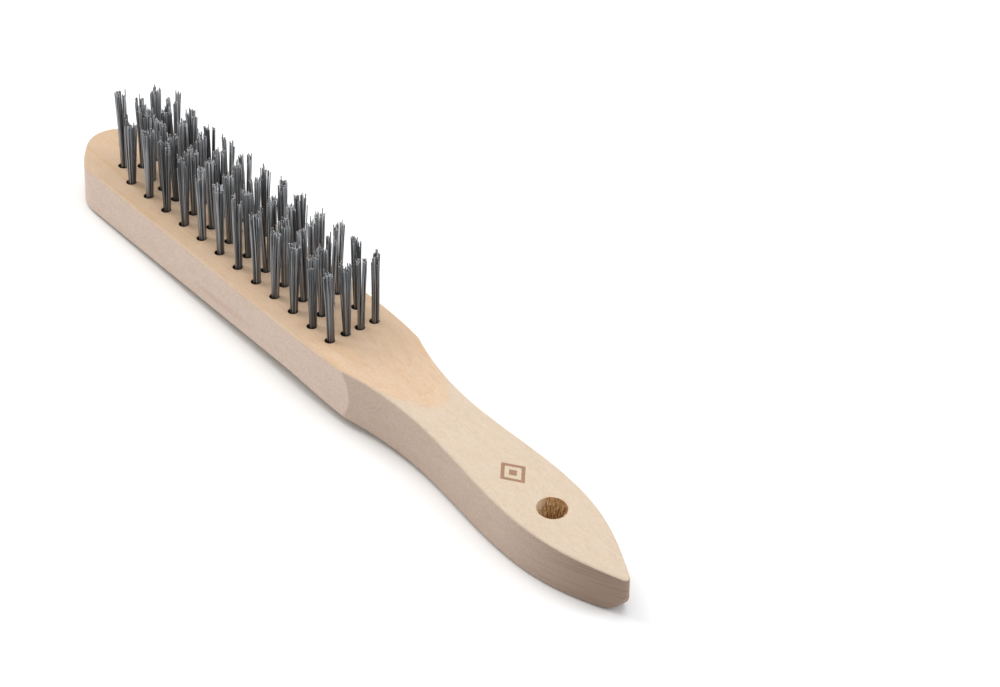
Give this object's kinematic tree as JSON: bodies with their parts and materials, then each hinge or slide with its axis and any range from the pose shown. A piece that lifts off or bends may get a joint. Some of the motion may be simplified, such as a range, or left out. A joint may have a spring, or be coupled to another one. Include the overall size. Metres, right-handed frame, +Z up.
{
  "type": "wire brush",
  "caption": "Hand wire brush: long beech block with a waisted, pointed handle and a hanging hole, and staggered rows of straight steel-wire tufts.",
  "frame": {"origin": "centre of the bounding box in plan, on the surface that the brush lies on", "axes": "+X from the nose to the tip of the handle, +Y across the block, +Z up, the way the tufts point; the brush lies on its back, so the tufts' face leans 1.93 degrees, lower at the nose"},
  "size_m": [0.2884, 0.0334, 0.0475],
  "materials": {
    "beech": "sanded, unvarnished",
    "steel_wire": "drawn, dark grey",
    "anchor_wire": "flat rolled, bright"
  },
  "bodies": {
    "root": {"anchors_nose": "anchor_wire", "anchors_row_1": "anchor_wire", "anchors_row_2": "anchor_wire", "anchors_row_3": "anchor_wire", "anchors_row_4": "anchor_wire", "handle": "beech", "tuft_nose_01": "steel_wire", "tuft_nose_02": "steel_wire", "tuft_nose_03": "steel_wire", "tuft_row_1_01": "steel_wire", "tuft_row_1_02": "steel_wire", "tuft_row_1_03": "steel_wire", "tuft_row_1_04": "steel_wire", "tuft_row_1_05": "steel_wire", "tuft_row_1_06": "steel_wire", "tuft_row_1_07": "steel_wire", "tuft_row_1_08": "steel_wire", "tuft_row_1_09": "steel_wire", "tuft_row_1_10": "steel_wire", "tuft_row_1_11": "steel_wire", "tuft_row_1_12": "steel_wire", "tuft_row_2_01": "steel_wire", "tuft_row_2_02": "steel_wire", "tuft_row_2_03": "steel_wire", "tuft_row_2_04": "steel_wire", "tuft_row_2_05": "steel_wire", "tuft_row_2_06": "steel_wire", "tuft_row_2_07": "steel_wire", "tuft_row_2_08": "steel_wire", "tuft_row_2_09": "steel_wire", "tuft_row_2_10": "steel_wire", "tuft_row_2_11": "steel_wire", "tuft_row_2_12": "steel_wire", "tuft_row_3_01": "steel_wire", "tuft_row_3_02": "steel_wire", "tuft_row_3_03": "steel_wire", "tuft_row_3_04": "steel_wire", "tuft_row_3_05": "steel_wire", "tuft_row_3_06": "steel_wire", "tuft_row_3_07": "steel_wire", "tuft_row_3_08": "steel_wire", "tuft_row_3_09": "steel_wire", "tuft_row_3_10": "steel_wire", "tuft_row_3_11": "steel_wire", "tuft_row_4_01": "steel_wire", "tuft_row_4_02": "steel_wire", "tuft_row_4_03": "steel_wire", "tuft_row_4_04": "steel_wire", "tuft_row_4_05": "steel_wire", "tuft_row_4_06": "steel_wire", "tuft_row_4_07": "steel_wire", "tuft_row_4_08": "steel_wire", "tuft_row_4_09": "steel_wire", "tuft_row_4_10": "steel_wire", "tuft_row_4_11": "steel_wire", "tuft_row_4_12": "steel_wire"}
  },
  "joints": []
}
